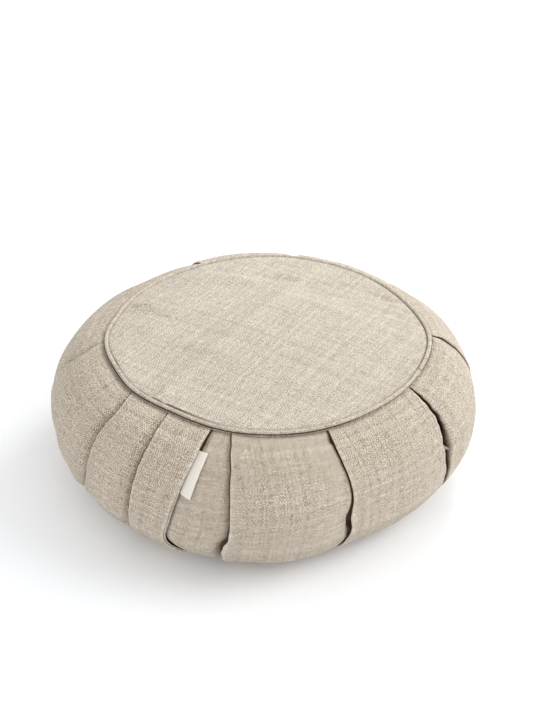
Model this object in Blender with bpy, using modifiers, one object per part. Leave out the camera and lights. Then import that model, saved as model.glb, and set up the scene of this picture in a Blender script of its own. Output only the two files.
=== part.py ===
"""Round meditation cushion with a pleated side, in metres, +Z up, standing on z = 0.

The filled body carries the pleated side band. A round cloth panel closes it above and below, a piping cord
covers each of the two seams, and a plain folded tab is caught in the edge of one pleat.
Angles round the cushion are in degrees from the front, -Y, towards +X. The slope is the place down the
side: 90 degrees at the top, 0 at the widest line and -90 underneath. Heights are measured out from the side.
"""

from collections import namedtuple
from math import atan2, cos, degrees, pi, radians, sin

import bmesh
import bpy
from mathutils import Vector

MM = 0.001

# The outline's own centre, which lies a little off the middle of its box
CENTRE = Vector((0.0018, 0.0014, 0.0))

# Side of the cushion: an ellipse quarter above the widest line and another below it
CORE_RADIUS = 0.130
WIDEST_HEIGHT = 0.0625
UNDER_HEIGHT = 0.0026
SIDE_SEAM_SLOPE = 78.0
SIDE_ROWS = 15

# Round panels and the two piped seams
CROWN_HEIGHT = 0.0072
CROWN_POWER = 2.2
CROWN_EDGE_Z = 0.1252
PANEL_CLOTH = 0.0015
GAP = 0.0003
PIPING_RADIUS = 0.0019
PIPING_TOP_Z = 0.1259
PIPING_BOTTOM_Z = 0.0026
SEAM_HOLLOW = (PIPING_RADIUS + GAP) / cos(radians(30))
SEAM_TURNS = (90, 30)
FLAT_REST_SHARE = 0.90
REST_EDGE_RISE = 0.0016
ROUND_POINTS = 60
SHARP_ANGLE = 40.0

# Where the rings of the round panels and of the body's ends lie, as shares of the way from centre to edge
TOP_PANEL_SHARES = (0.12, 0.4, 0.62, 0.8, 0.93, 1.0)
BOTTOM_PANEL_SHARES = (0.12, 0.5, FLAT_REST_SHARE, 0.95, 1.0)
BODY_TOP_SHARES = (0.3, 0.6, 0.82, 0.96)
BODY_BOTTOM_SHARES = (0.965, FLAT_REST_SHARE)

# Overlaps: how far the cloth on top reaches over the cloth below, the thickness of its flap, its rounded
# edge, and the same where the fold is sewn into a seam
TUCK = 7.0 * MM
SEWN_TUCK = -1.0 * MM
FLAP = 1.9 * MM
EDGE_START = 2.4 * MM
EDGE_ROUND = 0.6 * MM
EDGE_DROPS = (0.2, 0.6)
EDGE_UNDERCUT = 0.7 * MM
SLOT_END = 0.5 * MM
SEWN_SLOPE = 12.0
SEWN_EDGE = 0.3 * MM
SEWN_SLOT = 0.4 * MM
SEWN_GAP = 1.0 * MM
SEWN_FLAP_SHARE = 0.5
SEWN_SINK_SHARE = 0.25
SEWN_LIFT_SHARE = 0.45

# Grooves: where the roll into one starts and turns, how far it has come down there, and the taper below
GROOVE_START = 2.6 * MM
GROOVE_TURN = 0.8 * MM
GROOVE_DROPS = (0.5 * MM, 1.6 * MM)
GROOVE_TAPER = 0.2 * MM

# Panels between the folds: how far a lifted edge reaches into one, how its ends fade, and its bulge
LIFT_REACH = 16.0 * MM
LIFT_FADE = 2.0
SINK_FADE = 3.0
BULGE_POWER = 0.7
PANEL_STEP = 6.5

# The tab in the edge of a pleat
TAB_LENGTH = 0.042
TAB_REACH = 0.0088
TAB_ROOT = 0.0026
TAB_THICK = 0.0009
TAB_CLEAR = 0.3 * MM
TAB_SLOPE = 44.0
TAB_SHARES = (0.0, 0.3, 0.65, 1.0)

# The outline isn't a true circle: the radius of the seams and of the widest line, round the cushion
Outline = namedtuple("Outline", "angle seam_radius side_radius")
OUTLINE = [
    Outline(0, 0.1389, 0.1907),
    Outline(30, 0.1402, 0.1795),
    Outline(60, 0.1410, 0.1840),
    Outline(90, 0.1423, 0.1877),
    Outline(120, 0.1410, 0.1893),
    Outline(150, 0.1402, 0.1912),
    Outline(180, 0.1402, 0.1880),
    Outline(210, 0.1366, 0.1882),
    Outline(240, 0.1370, 0.1892),
    Outline(270, 0.1400, 0.1918),
    Outline(300, 0.1374, 0.1884),
    Outline(330, 0.1362, 0.1911),
]

# One row for each fold. over is +1 where the cloth at larger angles lies on top, -1 where it lies below, and
# 0 where both sides roll into a groove. lift is the height of the edge on top, and bulge is the rise of the
# panel that follows. The columns of five are read at SLOPES: the fold's angle, how deep the cloth beside it is
# sunk, and how wide it lies open there. reach is the distance in which the sunk cloth comes up again. All
# sizes here are in millimetres.
SLOPES = (78, 47, 16, -15, -46)
SHALLOW = (0.6, 0.8, 0.9, 0.8, 0.8)
CLOSED = (1.4, 1.4, 1.4, 1.4, 1.4)
Pleat = namedtuple("Pleat", "name over lift bulge reach angles sinks gaps")
PLEATS = [
    Pleat("K", -1, 1.4, 1.4, 20, (-155, -155, -155, -155, -155), (1.2, 1.2, 1.2, 1.0, 0.8), CLOSED),
    Pleat("L", +1, 1.3, 1.6, 20, (-121, -119, -114, -112, -112), SHALLOW, CLOSED),
    Pleat("A", +1, 1.3, 2.8, 20, (-87, -85.5, -87.5, -89, -90), SHALLOW, CLOSED),
    Pleat("B", +1, 1.5, 1.8, 20, (-54, -51.5, -52, -55, -60), (0.8, 1.1, 1.2, 0.9, 0.5), CLOSED),
    Pleat("C", +1, 1.3, 1.4, 20, (-36, -35, -35, -36.2, -38), SHALLOW, CLOSED),
    Pleat("D", -1, 2.0, 0.6, 20, (-18.5, -19.8, -21.7, -24.2, -24.5), (1.8, 2.0, 2.2, 2.4, 2.6), CLOSED),
    Pleat("E", +1, 2.0, 2.0, 20, (-11, -8.8, -8.2, -9.6, -11.5), (1.0, 1.2, 1.6, 2.6, 4.6), CLOSED),
    Pleat("F", 0, 1.4, 2.0, 20, (21, 22.2, 23.2, 22.4, 22), (4, 5, 6, 7, 7.5), (1.2, 1.4, 1.4, 3.6, 5)),
    Pleat("G", -1, 1.8, 3.4, 12, (58, 57.5, 56.6, 58.8, 62), (3, 8, 9, 4.5, 3), (1.4, 7, 7, 2, 1.4)),
    Pleat("H", -1, 1.6, 1.8, 15, (93, 93, 95, 95, 95), (3, 5, 5, 3, 2), (1.4, 3, 3, 2, 1.4)),
    Pleat("I", -1, 1.4, 1.6, 20, (131, 131, 131, 131, 131), (1.0, 1.4, 1.4, 1.2, 1.0), CLOSED),
    Pleat("J", -1, 1.4, 1.6, 20, (168, 168, 168, 168, 168), SHALLOW, CLOSED),
]
Span = namedtuple("Span", "start end width left right")
TAB_PLEAT = next(pleat for pleat in PLEATS if pleat.name == "D")

LINEN = ("linen", (0.56, 0.49, 0.39), 0.92)
LINEN_PIPING = ("linen_piping", (0.60, 0.53, 0.43), 0.90)
COTTON_TAPE = ("cotton_tape", (0.83, 0.79, 0.72), 0.88)


def smooth(x):
    """0 below 0, 1 above 1, and an even S-curve between."""
    x = min(1.0, max(0.0, x))
    return x * x * (3.0 - 2.0 * x)


def through(before, start, end, after, x):
    """A smooth curve from start to end as x goes from 0 to 1, on its way from before to after."""
    slope_in, slope_out = (end - before) / 2, (after - start) / 2
    between = start * (2 * x**3 - 3 * x**2 + 1) + end * (3 * x**2 - 2 * x**3)
    return between + slope_in * (x**3 - 2 * x**2 + x) + slope_out * (x**3 - x**2)


def outline(column, angle):
    """A column of OUTLINE at any angle, on a smooth closed curve through its rows."""
    values = [getattr(row, column) for row in OUTLINE]
    place = (angle % 360.0) / 360.0 * len(values)
    k = int(place) % len(values)
    return through(*(values[(k + i) % len(values)] for i in (-1, 0, 1, 2)), place % 1.0)


def round_point(angle, radius, z):
    return CENTRE + Vector((radius * sin(radians(angle)), -radius * cos(radians(angle)), z))


def side_point(angle, slope, height=0.0):
    """The point of the side at an angle and a slope, raised by height along its normal."""
    reach = outline("side_radius", angle) - CORE_RADIUS
    rise = WIDEST_HEIGHT if slope >= 0 else WIDEST_HEIGHT - UNDER_HEIGHT
    across, up = cos(radians(slope)), sin(radians(slope))
    normal = Vector((across / reach, up / rise)).normalized()
    radius = CORE_RADIUS + reach * across + height * normal.x
    return round_point(angle, radius, WIDEST_HEIGHT + rise * up + height * normal.y)


def side_slopes():
    """The slope of each row of points down the side, closer together towards the seams."""
    return [SIDE_SEAM_SLOPE * cos(pi * row / (SIDE_ROWS - 1)) for row in range(SIDE_ROWS)]


def side_radius(angle, slope):
    return CORE_RADIUS + (outline("side_radius", angle) - CORE_RADIUS) * cos(radians(slope))


def seam_point(angle, z, turn):
    """A point of the hollow that a piping cord lies in, turned up round the cord from its outer side."""
    radius = outline("seam_radius", angle) + SEAM_HOLLOW * cos(radians(turn))
    return round_point(angle, radius, z + SEAM_HOLLOW * sin(radians(turn)))


def top_surface(angle, share, below=0.0):
    """The crowned upper face of the top panel, at a share of the way from its centre to its edge."""
    edge = outline("seam_radius", angle) - PIPING_RADIUS - GAP
    crown = CROWN_HEIGHT * (1.0 - share**CROWN_POWER)
    return round_point(angle, edge * share, CROWN_EDGE_Z + crown - below)


def bottom_surface(angle, share, above=0.0):
    """The lower face of the bottom panel: flat where the cushion rests, then rising to its seam."""
    edge = outline("seam_radius", angle) - PIPING_RADIUS - GAP
    rise = REST_EDGE_RISE * smooth((share - FLAT_REST_SHARE) / (1.0 - FLAT_REST_SHARE))
    return round_point(angle, edge * share, rise + above)


def opening(slope):
    """How far the folds stand open: 0 where they are sewn into a seam, 1 along the side."""
    return smooth((SIDE_SEAM_SLOPE - abs(slope)) / SEWN_SLOPE)


def open_share(sewn_share, slope):
    """The share of a fold's full size at a slope: sewn_share in the seams, 1 along the side."""
    return sewn_share + (1.0 - sewn_share) * opening(slope)


def down_the_side(values, slope):
    """A pleat's column of five at any slope, on a smooth curve from the top seam down, then constant."""
    padded = (values[0], *values, values[-1])
    place = max(0.0, (SLOPES[0] - slope) / (SLOPES[0] - SLOPES[1]))
    k = min(int(place), len(SLOPES) - 2)
    return through(*padded[k : k + 4], min(1.0, place - k))


def fold_angle(pleat, slope):
    return down_the_side(pleat.angles, slope)


def fold_sink(pleat, slope):
    """How deep the cloth beside a fold lies."""
    return down_the_side(pleat.sinks, slope) * MM * open_share(SEWN_SINK_SHARE, slope)


def fold_gap(pleat, slope):
    """How far the sunk cloth beside a fold lies open."""
    return SEWN_GAP + (down_the_side(pleat.gaps, slope) * MM - SEWN_GAP) * opening(slope)


def fold_lift(pleat, slope):
    return pleat.lift * MM * open_share(SEWN_LIFT_SHARE, slope)


def overlap_section(pleat, slope):
    """Cloth that turns under at the fold and comes out again below: (distance, height) from the top down."""
    loose = opening(slope)
    lift, sink = fold_lift(pleat, slope), fold_sink(pleat, slope)
    flap = FLAP * open_share(SEWN_FLAP_SHARE, slope)
    tuck = SEWN_TUCK + (TUCK - SEWN_TUCK) * loose
    sewn = SEWN_SLOT * (1.0 - loose)
    return [
        (-EDGE_START, lift),
        (-EDGE_ROUND, lift - EDGE_DROPS[0] * flap),
        (0.0, lift - EDGE_DROPS[1] * flap),
        (SEWN_EDGE - EDGE_UNDERCUT * loose, lift - flap),
        (-tuck, SLOT_END - sink),
        (-tuck + sewn, -sink),
        (fold_gap(pleat, slope) + 2.0 * sewn, -sink),
    ]


def groove_section(pleat, slope):
    """Cloth that rolls down into a narrow groove from both sides."""
    lift, depth, half = fold_lift(pleat, slope), fold_sink(pleat, slope), fold_gap(pleat, slope) / 2
    return [
        (-half - GROOVE_START, lift),
        (-half - GROOVE_TURN, lift - GROOVE_DROPS[0]),
        (-half, lift - GROOVE_DROPS[1]),
        (-half + GROOVE_TAPER, -depth),
        (half - GROOVE_TAPER, -depth),
        (half, lift - GROOVE_DROPS[1]),
        (half + GROOVE_START, lift),
    ]


def fold_section(pleat, slope):
    """A fold's cross-section as (distance along the side, height), in the order of increasing angle."""
    if pleat.over == 0:
        return groove_section(pleat, slope)
    section = overlap_section(pleat, slope)
    if pleat.over < 0:
        return section
    return [(-distance, height) for distance, height in reversed(section)]


def end_effect(height, distance, reach):
    """What is left of the height at a panel's end, at a distance into the panel."""
    fade = LIFT_FADE if height > 0 else SINK_FADE
    return height * (1.0 - min(1.0, distance / reach)) ** fade


def panel_height(pleat, slope, distance):
    """Height of the cloth of the panel after a pleat, at a distance from its left end."""
    span = panel_span(pleat, slope)
    share = min(1.0, max(0.0, distance / span.width))
    left_reach = LIFT_REACH if span.left > 0 else pleat.reach * MM
    right_reach = LIFT_REACH if span.right > 0 else next_pleat(pleat).reach * MM
    left = end_effect(span.left, share * span.width, min(left_reach, span.width))
    right = end_effect(span.right, (1.0 - share) * span.width, min(right_reach, span.width))
    bulge = pleat.bulge * MM * opening(slope)
    return left + right + bulge * (4.0 * share * (1.0 - share)) ** BULGE_POWER


def next_pleat(pleat):
    return PLEATS[(PLEATS.index(pleat) + 1) % len(PLEATS)]


def panel_span(pleat, slope):
    """Where the panel after a pleat starts and ends, its width, and the heights of its two ends."""
    following = next_pleat(pleat)
    radius = side_radius(pleat.angles[2], slope)
    first, last = fold_section(pleat, slope)[-1], fold_section(following, slope)[0]
    start = fold_angle(pleat, slope) + degrees(first[0] / radius)
    end = fold_angle(following, slope) + degrees(last[0] / radius)
    end += 360.0 if end < start else 0.0
    return Span(start, end, radians(end - start) * radius, first[1], last[1])


def panel_steps(pleat):
    """How many steps the panel after a pleat is divided into, the same in every row."""
    width = (next_pleat(pleat).angles[2] - pleat.angles[2]) % 360.0
    return max(3, round(width / PANEL_STEP))


def side_row(slope):
    """One closed row of points round the side, through every fold and panel."""
    points = []
    for pleat in PLEATS:
        fold, radius = fold_angle(pleat, slope), side_radius(pleat.angles[2], slope)
        for distance, height in fold_section(pleat, slope):
            points.append(side_point(fold + degrees(distance / radius), slope, height))
        span = panel_span(pleat, slope)
        for i in range(1, panel_steps(pleat)):
            share = i / panel_steps(pleat)
            height = panel_height(pleat, slope, share * span.width)
            points.append(side_point(span.start + (span.end - span.start) * share, slope, height))
    return points


def row_angles(row):
    """The angle of each point of a row, so that the rows inside a seam line up with the side's rows."""
    return [degrees(atan2(point.x - CENTRE.x, CENTRE.y - point.y)) for point in row]


def material(name, colour, roughness):
    made = bpy.data.materials.get(name) or bpy.data.materials.new(name)
    made.use_nodes = True
    shader = made.node_tree.nodes["Principled BSDF"]
    shader.inputs["Base Color"].default_value = (*colour, 1.0)
    shader.inputs["Roughness"].default_value = roughness
    shader.inputs["Metallic"].default_value = 0.0
    made.diffuse_color = (*colour, 1.0)
    return made


def add_object(name, data, finish, collection):
    made = bpy.data.objects.new(name, data)
    made.data.materials.append(material(*finish))
    collection.objects.link(made)
    return made


def mesh_from(name, mesh):
    data = bpy.data.meshes.new(name)
    mesh.to_mesh(data)
    mesh.free()
    data.shade_smooth()
    data.set_sharp_from_angle(angle=radians(SHARP_ANGLE))
    return data


def loft(name, rows, finish, collection):
    """A closed body through rows of equally many points, with a flat face over its first and last rows."""
    mesh = bmesh.new()
    rings = [[mesh.verts.new(point) for point in row] for row in rows]
    for upper, lower in zip(rings, rings[1:]):
        for i in range(len(upper)):
            j = (i + 1) % len(upper)
            mesh.faces.new((upper[i], lower[i], lower[j], upper[j]))
    mesh.faces.new(rings[0])
    mesh.faces.new(list(reversed(rings[-1])))
    bmesh.ops.recalc_face_normals(mesh, faces=mesh.faces)
    return add_object(name, mesh_from(name, mesh), finish, collection)


def filled_body(collection):
    """The filled cushion with its pleated side, its ends shaped to lie under the two round panels."""
    side = [side_row(slope) for slope in side_slopes()]
    upper, lower = row_angles(side[0]), row_angles(side[-1])
    under_panel = PANEL_CLOTH + GAP
    rows = [[top_surface(angle, share, under_panel) for angle in upper] for share in BODY_TOP_SHARES]
    rows += [[seam_point(angle, PIPING_TOP_Z, -turn) for angle in upper] for turn in SEAM_TURNS]
    rows += side
    rows += [[seam_point(angle, PIPING_BOTTOM_Z, turn) for angle in lower] for turn in reversed(SEAM_TURNS)]
    rows += [[bottom_surface(angle, share, under_panel) for angle in lower] for share in BODY_BOTTOM_SHARES]
    loft("filled_pleated_band", rows, LINEN, collection)


def round_panel(name, surface, shares, thickness_side, collection):
    """A round piece of cloth on a surface, with its thickness on the side given: +1 above, -1 below."""
    mesh = bmesh.new()
    angles = [360.0 * k / ROUND_POINTS for k in range(ROUND_POINTS)]
    rings = [[mesh.verts.new(surface(angle, share)) for angle in angles] for share in shares]
    mesh.faces.new(rings[0])
    for inner, outer in zip(rings, rings[1:]):
        for i in range(ROUND_POINTS):
            j = (i + 1) % ROUND_POINTS
            mesh.faces.new((inner[i], outer[i], outer[j], inner[j]))
    mesh.normal_update()
    if sum(face.normal.z for face in mesh.faces) < 0:
        bmesh.ops.reverse_faces(mesh, faces=mesh.faces)
    made = add_object(name, mesh_from(name, mesh), LINEN, collection)
    cloth = made.modifiers.new("cloth", "SOLIDIFY")
    cloth.thickness = PANEL_CLOTH
    cloth.offset = thickness_side


def piping(name, z, collection):
    """A closed cord along a seam."""
    curve = bpy.data.curves.new(name, "CURVE")
    curve.dimensions = "3D"
    curve.bevel_depth = PIPING_RADIUS
    curve.bevel_resolution = 2
    spline = curve.splines.new("POLY")
    spline.points.add(ROUND_POINTS - 1)
    for k, point in enumerate(spline.points):
        angle = 360.0 * k / ROUND_POINTS
        point.co = (*round_point(angle, outline("seam_radius", angle), z), 1.0)
    spline.use_cyclic_u = True
    add_object(name, curve, LINEN_PIPING, collection)


def tab_height(slope, distance):
    """Height of the tab's lower face, which lies in the fold's slot and on the panel beside it."""
    return TAB_CLEAR + panel_height(TAB_PLEAT, slope, distance - fold_section(TAB_PLEAT, slope)[-1][0])


def tab_row(slope):
    """The tab's cross-section at one of the side's rows."""
    distances = [-TAB_ROOT] + [TAB_REACH * share for share in TAB_SHARES]
    fold, radius = fold_angle(TAB_PLEAT, slope), side_radius(TAB_PLEAT.angles[2], slope)
    below = [(fold + degrees(distance / radius), tab_height(slope, distance)) for distance in distances]
    above = [(angle, height + TAB_THICK) for angle, height in reversed(below)]
    return [side_point(angle, slope, height) for angle, height in below + above]


def tab_row_between(slope):
    """The tab's cross-section on the straight stretch between the side's two rows next to a slope."""
    slopes = side_slopes()
    k = next(i for i in range(1, SIDE_ROWS) if slopes[i] < slope)
    share = (slopes[k - 1] - slope) / (slopes[k - 1] - slopes[k])
    return [above.lerp(below, share) for above, below in zip(tab_row(slopes[k - 1]), tab_row(slopes[k]))]


def side_tab(collection):
    """The plain folded tape caught in the edge of a pleat."""
    reach = outline("side_radius", TAB_PLEAT.angles[2]) - CORE_RADIUS
    half = degrees(TAB_LENGTH / (reach + WIDEST_HEIGHT))
    inner = [slope for slope in side_slopes() if abs(slope - TAB_SLOPE) < half]
    rows = [tab_row_between(slope) for slope in (TAB_SLOPE + half, *inner, TAB_SLOPE - half)]
    loft("side_tab", rows, COTTON_TAPE, collection)


def build():
    for old in list(bpy.data.objects):
        bpy.data.objects.remove(old)
    collection = bpy.data.collections.new("meditation_cushion")
    bpy.context.scene.collection.children.link(collection)
    filled_body(collection)
    round_panel("top_panel", top_surface, TOP_PANEL_SHARES, -1.0, collection)
    round_panel("bottom_panel", bottom_surface, BOTTOM_PANEL_SHARES, 1.0, collection)
    piping("top_piping", PIPING_TOP_Z, collection)
    piping("bottom_piping", PIPING_BOTTOM_Z, collection)
    side_tab(collection)


build()
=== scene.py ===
"""Round meditation cushion: linen laid in pleats round a firm filling, with piped seams and a folded tape.

Angles round the cushion are in degrees from the front, -Y, towards +X. The slope is the place down the side:
90 degrees at the top, 0 at the widest line and -90 underneath. Heights are measured out from the side.
"""

from collections import namedtuple
from functools import lru_cache
from math import acos, atan2, cos, degrees, exp, hypot, pi, radians, sin

import bpy
from mathutils import Matrix, Vector, noise


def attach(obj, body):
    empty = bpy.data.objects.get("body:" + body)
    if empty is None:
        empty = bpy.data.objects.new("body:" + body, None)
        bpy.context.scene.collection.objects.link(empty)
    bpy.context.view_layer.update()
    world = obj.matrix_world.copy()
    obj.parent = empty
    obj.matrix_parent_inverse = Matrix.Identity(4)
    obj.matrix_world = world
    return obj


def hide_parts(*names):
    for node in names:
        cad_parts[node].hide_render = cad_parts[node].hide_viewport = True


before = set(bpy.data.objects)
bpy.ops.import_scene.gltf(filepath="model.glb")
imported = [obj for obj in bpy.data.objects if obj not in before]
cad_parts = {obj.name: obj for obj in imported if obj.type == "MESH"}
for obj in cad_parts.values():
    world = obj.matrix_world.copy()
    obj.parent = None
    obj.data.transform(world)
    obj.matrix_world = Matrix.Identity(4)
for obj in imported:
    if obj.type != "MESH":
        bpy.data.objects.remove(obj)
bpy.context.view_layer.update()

MM = 0.001

# The cushion's outline, its side and its two piped seams: the frame's sizes, with a slightly thinner cord
CENTRE = Vector((0.0018, 0.0014, 0.0))
CORE_RADIUS = 0.130
WIDEST_HEIGHT = 0.0625
UNDER_HEIGHT = 0.0026
SIDE_SEAM_SLOPE = 78.0
CROWN_HEIGHT = 0.0072
CROWN_EDGE_Z = 0.1252
CROWN_POWER = 2.2
CORD_RADIUS = 0.0018
CORD_TOP_Z = 0.1259
CORD_BOTTOM_Z = 0.0026
PANEL_GAP = 0.0001

# Radius of the seams and of the widest line, in millimetres, every 30 degrees from the front
SEAM_RADII = (138.9, 140.2, 141.0, 142.3, 141.0, 140.2, 140.2, 136.6, 137.0, 140.0, 137.4, 136.2)
# How far the pleats pull the seams in or out: angle, half width in degrees, and millimetres
SEAM_PULLS = ((-104, 9, -1.6), (-70, 13, -2.8), (-36, 18, -4.6), (0, 16, -1.0), (40, 20, -2.8), (90, 14, 2.9))
SIDE_RADII = (190.7, 179.5, 184.0, 187.7, 189.3, 191.2, 188.0, 188.2, 189.2, 191.8, 188.4, 191.1)

# What a degree round the side and a degree of slope measure on the cloth
DEGREE_ACROSS = 3.28 * MM
DEGREE_DOWN = 1.06 * MM

# The collar, where the side bends from a slope up to the cord, and how tight it lies to it on the right
COLLAR_START = 50.0
COLLAR_Z = 0.1243
COLLAR_REACH = 3.3 * MM
TIGHT_SHARE = 0.25

# Rows of the side's cloth round a seam's cord: turn, clearance from the cord, and how much painted shade it
# has there
SEAM_ROWS = ((14, 1.00 * MM, 0.2), (26, 0.75 * MM, 0.7), (48, 0.30 * MM, 1.0), (90, 0.3 * MM, 1.0))

# The rows hidden under the two round panels, as shares of the seam's radius, and where they lie
UNDER_TOP_SHARES = (0.3, 0.8, 0.95)
UNDER_TOP_Z = CROWN_EDGE_Z - 4.0 * MM
UNDER_BASE_SHARES = (0.95, 0.6)
UNDER_BASE_Z = 3.0 * MM

# The fine mesh: rows down the side, and the step across a panel in front and behind
SIDE_ROWS = 102
FRONT_STEP = 1.7 * MM
BACK_STEP = 3.4 * MM
FRONT_ANGLES = (-106.0, 112.0)

# A fold's edge on top, and the cloth under it
FLAP = 1.8 * MM
EDGE_START = 5.0 * MM
EDGE_CREST = 3.2 * MM
EDGE_FALL = 1.7 * MM
EDGE_RISE = 0.35 * MM
# EDGE_SHADE is the painted shade under a fold's edge; LIGHT_TURN and LIGHT_SPAN place the lighter strip along
# its upper side, partly wear and partly painted highlight
EDGE_SHADE = 0.6
EDGE_TURNS = (70, 35, 0, -35, -65, -90)
LIGHT_TURN = 35.0
LIGHT_SPAN = 60.0
TUCK = 7.0 * MM
SEWN_TUCK = -1.0 * MM
SLOT_END = 0.5 * MM
SEWN_SLOT = 0.4 * MM
SEWN_GAP = 1.0 * MM
SEWN_SLOPE = 12.0
LIFT_REACH = 16.0 * MM
LIFT_FADE = 2.0
SINK_FADE = 3.0
BULGE_POWER = 0.7

# The share of a fold's height and depth, and of its edge's thickness, that is left in the seams
SEWN_SHARE = 0.45
SEWN_FLAP = 0.5

# A fold with two layers: how far in the step between them lies, how far the lower one peeps out, the slopes
# between which it comes out, and the depths of the step and of the lower layer's two faces
LAYER_STEP = 1.3 * MM
LAYER_PEEP = 1.7 * MM
PEEP_SLOPES = (40.0, 20.0)
LAYER_STEP_SHARE = 0.53
LAYER_TOP_SHARE = 0.56
LAYER_UNDER_SHARE = 1.06

# A fold with a roll: how much wider its gap is in the seams, the roll's greatest share of the depth, and the
# turns round the roll between which it comes out of the dark
SEWN_ROLL_GAP = 1.4 * MM
ROLL_SHARE = 0.4
ROLL_TURNS = (268, 245, 222, 200, 180, 160, 140, 115, 90)
ROLL_LIGHT = (105.0, 200.0)

# How far the folds' edges waver, in degrees, and over what way down the side
WAVER = 0.25
WAVERS = {"D": 0.1, "E": 0.05, "F": 0.12, "G": 0.4, "H": 0.3}
WAVER_LENGTH = 6.0
WAVER_SHIFT = 3.7

# Stretches round the cushion: the middle, half the width and the change at each end, in degrees
RIGHT_STRETCH = (95.0, 85.0, 45.0)
OPEN_STRETCH = (90.0, 50.0, 20.0)
FRONT_STRETCH = (0.0, 58.0, 22.0)
LEFT_START = -78.0
LEFT_FADE = 14.0

# What is left of the side's and of the cord's shade along the right, and along the left and the back
RIGHT_SHADE = 0.3
LEFT_SHADE = 0.4
CORD_RIGHT_SHADE = 0.4
CORD_LEFT_SHADE = 0.5

# The soft shade on the cloth that comes out of a fold or down from a seam
SHADE_SHARE = 0.075
SHADE_LIMIT = 0.5
SHADE_REACH = 7.0 * MM
SEAM_SHADE = 0.72
SEAM_SHADE_REACH = 1.8 * MM

# One row for each fold. over is +1 where the cloth at larger angles lies on top and -1 where it lies below.
# lift is the height of the edge on top, bulge is the rise of the panel that follows, and reach is the
# distance in which the cloth below comes up again. dark is the share of the opening that lies in the dark,
# and layers counts the cloth edges that show. The three columns hold the fold's angle, how deep the cloth
# beside it lies, and how wide the fold stands open. A column of nine is read at SLOPES; the others are pairs
# of slope and value. All sizes here are in millimetres.
SLOPES = (78.0, 62.5, 47.0, 31.5, 16.0, 0.5, -15.0, -30.5, -46.0)
SHALLOW = (0.8, 1.4, 1.8, 1.8, 1.8, 1.6, 1.4, 1.2, 0.8)
CLOSED = (2.4,) * 9
F_SINKS = ((78, 2.0), (70, 3.2), (62, 2.2), (40, 2.2), (14, 2.2), (7, 2.8), (0, 5.0),
           (-12, 6.5), (-20, 3.2), (-28, 1.5))
F_GAPS = ((78, 0.7), (73, 1.2), (68, 2.0), (62, 1.0), (48, 0.6), (30, 0.5), (12, 0.6), (7, 1.2), (1, 2.4),
          (-7, 2.6), (-13, 3.2), (-19, 3.0), (-24, 2.0), (-28, 0.6))
E_ANGLES = ((78, -10.8), (65, -9.9), (48, -8.9), (22, -8.4), (8, -8.3), (-4, -8.7), (-14, -10.2),
            (-22, -10.8), (-40, -11.2))
Pleat = namedtuple("Pleat", "name over lift bulge reach dark layers angles sinks gaps")
PLEATS = [
    Pleat("K", -1, 0.5, -1.0, 34, 0.0, 1, (-155,) * 9,
          (1.0, 1.8, 2.4, 2.4, 2.2, 2.0, 1.6, 1.2, 0.8), (1.6,) * 9),
    Pleat("L", +1, 1.0, 1.0, 14, 0.7, 1, (-133, -127, -119, -107, -104, -103, -103, -103, -103),
          SHALLOW, CLOSED),
    Pleat("A", +1, 0.9, 2.8, 14, 0.8, 1, (-87, -84.6, -85.1, -86.7, -87.5, -88.2, -89, -89.5, -90),
          (1.4, 2.2, 2.4, 2.4, 2.4, 2.2, 2.0, 1.8, 1.6), (3.6, 6.2, 7.0, 7.0, 5.0, 4.0, 3.6, 3.2, 3.0)),
    Pleat("B", +1, 1.1, 1.8, 12, 0.8, 1, (-53.5, -51, -51.2, -51.5, -51.7, -52.3, -55, -58, -60),
          (1.4, 2.6, 3.2, 3.4, 3.4, 3.2, 2.4, 1.2, 1.0), (2.0, 4.0, 4.6, 4.8, 4.8, 5.0, 4.0, 2.6, 2.0)),
    Pleat("C", +1, 1.2, 1.4, 11, 0.8, 1, (-35.6, -34.6, -34.4, -34.7, -35, -35.5, -36.4, -37.2, -38),
          (1.4, 2.2, 2.6, 2.8, 2.8, 2.8, 2.8, 2.4, 2.0), (1.6, 2.6, 3.2, 3.4, 3.4, 3.4, 3.4, 3.2, 3.0)),
    Pleat("D", -1, 2.0, 0.6, 14, 0.8, 2, (-18.3, -19.2, -20.2, -21.6, -23.0, -24.3, -25.8, -25.6, -23),
          (2.0, 2.4, 2.2, 2.4, 2.4, 2.2, 2.2, 2.4, 2.0), (1.2, 1.9, 1.2, 1.0, 0.8, 0.8, 0.9, 1.2, 0.8)),
    Pleat("E", +1, 1.8, 2.0, 12, 0.5, 1, E_ANGLES,
          (1.4, 2.0, 2.2, 2.4, 2.8, 3.4, 4.4, 5.0, 4.0), (1.2, 1.9, 1.9, 1.9, 2.0, 2.4, 3.4, 3.8, 2.8)),
    Pleat("F", +1, 1.5, 2.0, 8, 0.9, 1, (21.1, 21.3, 22.1, 23.1, 23.5, 22.6, 23.3, 22.6, 22),
          F_SINKS, F_GAPS),
    Pleat("G", -1, 0.8, 3.2, 8, 1.0, 1, (58, 57.5, 57.5, 56.9, 56.3, 56.7, 57.5, 59.5, 61),
          (2.0, 5.0, 8.0, 11.0, 13.5, 10.0, 9.0, 6.0, 3.0), (1.2, 2.6, 3.6, 6.6, 10.5, 6.5, 5.5, 3.0, 1.4)),
    Pleat("H", -1, 0.7, 1.8, 10, 1.0, 1, (91, 91.6, 92.2, 92.2, 93.5, 95, 95, 95, 95),
          (2.0, 5.0, 7.0, 8.0, 7.0, 6.0, 5.0, 4.0, 3.0), (1.4, 2.4, 2.8, 3.2, 2.6, 2.2, 2.0, 1.4, 1.2)),
    Pleat("I", -1, 1.2, 1.6, 14, 0.7, 1, (131,) * 9, SHALLOW, CLOSED),
    Pleat("J", -1, 1.2, 1.6, 14, 0.7, 1, (168,) * 9, SHALLOW, CLOSED),
]
BY_NAME = {pleat.name: pleat for pleat in PLEATS}

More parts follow.
